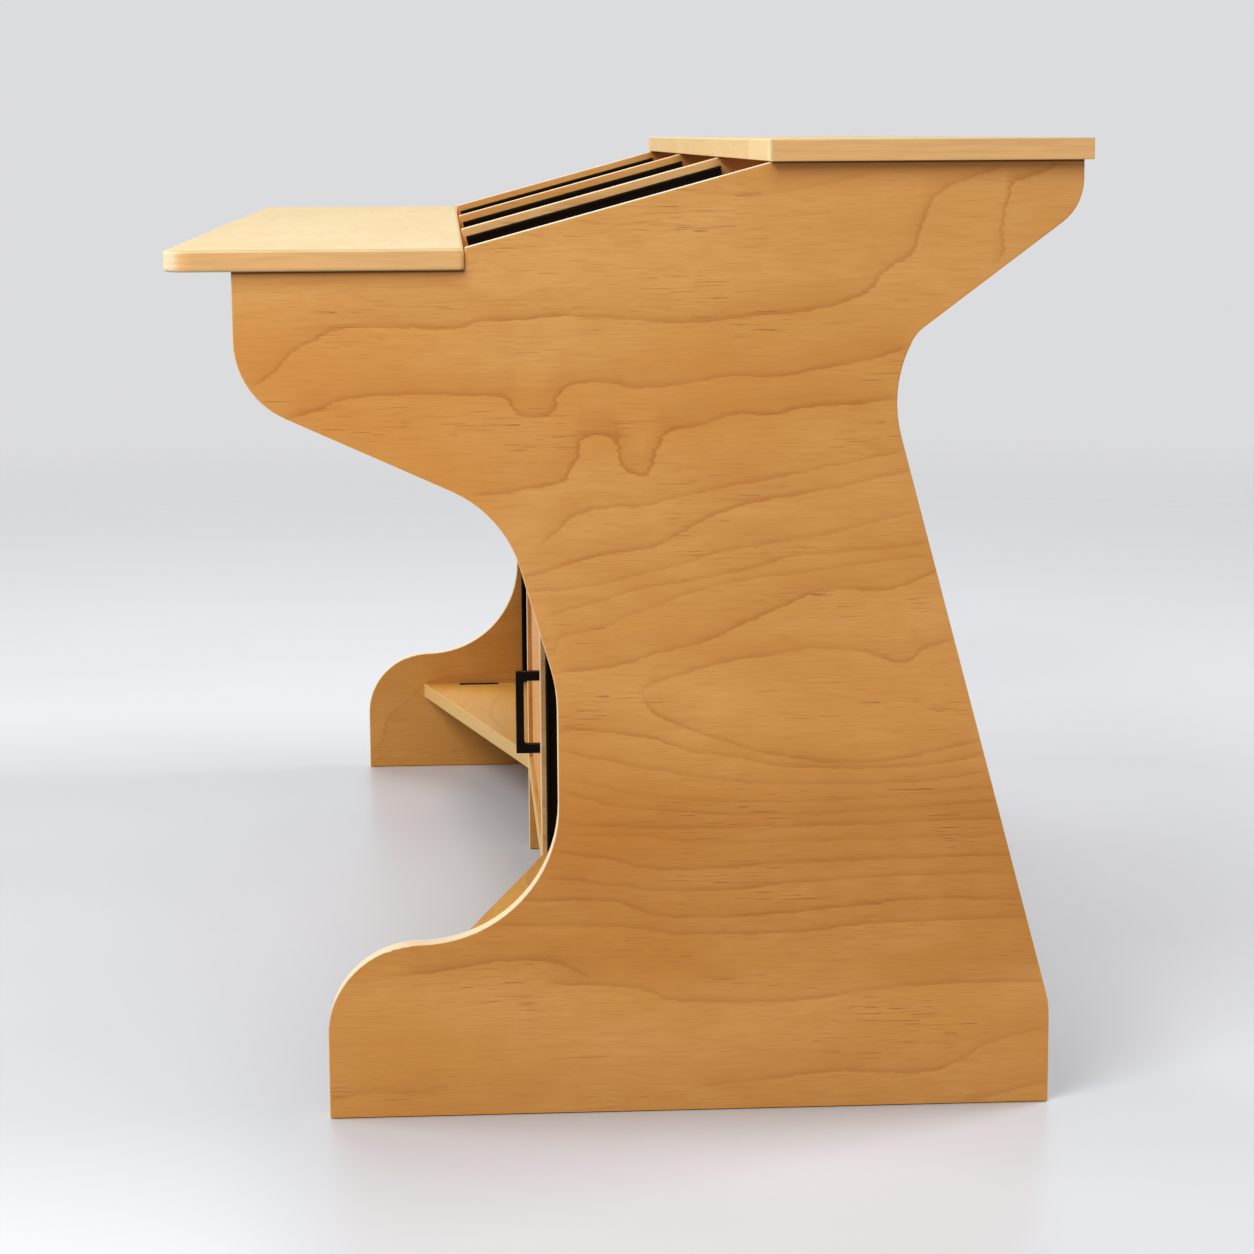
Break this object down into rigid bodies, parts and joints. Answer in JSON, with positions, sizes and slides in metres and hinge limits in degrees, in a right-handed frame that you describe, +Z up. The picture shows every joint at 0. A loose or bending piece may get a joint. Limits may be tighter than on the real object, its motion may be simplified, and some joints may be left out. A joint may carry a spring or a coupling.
{
  "type": "studio rack desk",
  "caption": "Wooden studio desk: flat front desktop, sloped rack bays behind it, monitor shelf on top, lower rack bays and a hinged door between shaped end panels.",
  "frame": {"origin": "on the floor under the middle of the bounding box, midway across the width and midway between the front of the desktop and the back of the monitor shelf", "axes": "+X to the sitter's right, +Y from the sitter to the back of the desk, +Z up"},
  "size_m": [1.538, 0.7744, 0.8332],
  "materials": {
    "upright_veneer": "satin lacquered veneer",
    "top_veneer": "satin lacquered veneer",
    "inner_veneer": "satin lacquered veneer",
    "edge_lipping": "satin lacquered solid lipping",
    "dowel_wood": "plain",
    "black_rails": "satin black powder coat",
    "black_screws": "black oxide",
    "black_pull": "satin black",
    "plated_steel": "zinc plated",
    "bush_plastic": "matte",
    "catch_plastic": "matte brown",
    "glide_plastic": "matte black",
    "grommet_rubber": "matte black"
  },
  "bodies": {
    "carcass": {"back_panel_dowels": "dowel_wood", "back_panel_left": "inner_veneer", "back_panel_middle": "inner_veneer", "back_panel_right": "inner_veneer", "bay_floor_dowels": "dowel_wood", "bay_floor_left": "inner_veneer", "bay_floor_middle": "inner_veneer", "bay_floor_right": "inner_veneer", "bottom_shelf_dowels": "dowel_wood", "bottom_shelf_left": "inner_veneer", "bottom_shelf_middle": "inner_veneer", "bottom_shelf_right": "inner_veneer", "cable_grommets": "grommet_rubber", "catch_screws": "plated_steel", "cross_rail_dowels": "dowel_wood", "cross_rail_left": "inner_veneer", "cross_rail_middle": "inner_veneer", "cross_rail_right": "inner_veneer", "desktop": "top_veneer", "desktop_dowels": "dowel_wood", "divider_left": "upright_veneer", "divider_right": "upright_veneer", "door_catch": "catch_plastic", "floor_glides": "glide_plastic", "front_wall_dowels": "dowel_wood", "front_wall_left": "inner_veneer", "front_wall_middle": "inner_veneer", "front_wall_right": "inner_veneer", "lower_rail_left_left": "black_rails", "lower_rail_left_right": "black_rails", "lower_rail_right_left": "black_rails", "lower_rail_right_right": "black_rails", "lower_rail_screws": "black_screws", "pivot_bushes": "bush_plastic", "side_panel_left": "upright_veneer", "side_panel_right": "upright_veneer", "slope_rail_left_left": "black_rails", "slope_rail_left_right": "black_rails", "slope_rail_middle_left": "black_rails", "slope_rail_middle_right": "black_rails", "slope_rail_right_left": "black_rails", "slope_rail_right_right": "black_rails", "slope_rail_screws": "black_screws", "top_lipping": "edge_lipping", "top_shelf": "top_veneer", "top_shelf_dowels": "dowel_wood"},
    "door": {"door": "inner_veneer", "door_pivot_pins": "plated_steel", "door_pull": "black_pull", "pull_screws": "plated_steel", "strike_plate": "plated_steel", "strike_screw": "plated_steel"}
  },
  "joints": [
    {"name": "door_hinge", "type": "hinge", "parent": "carcass", "child": "door", "pos_m": [-0.231, -0.05019, 0.3295], "axis": [0, 0, -1], "range_deg": [0, 90]}
  ]
}
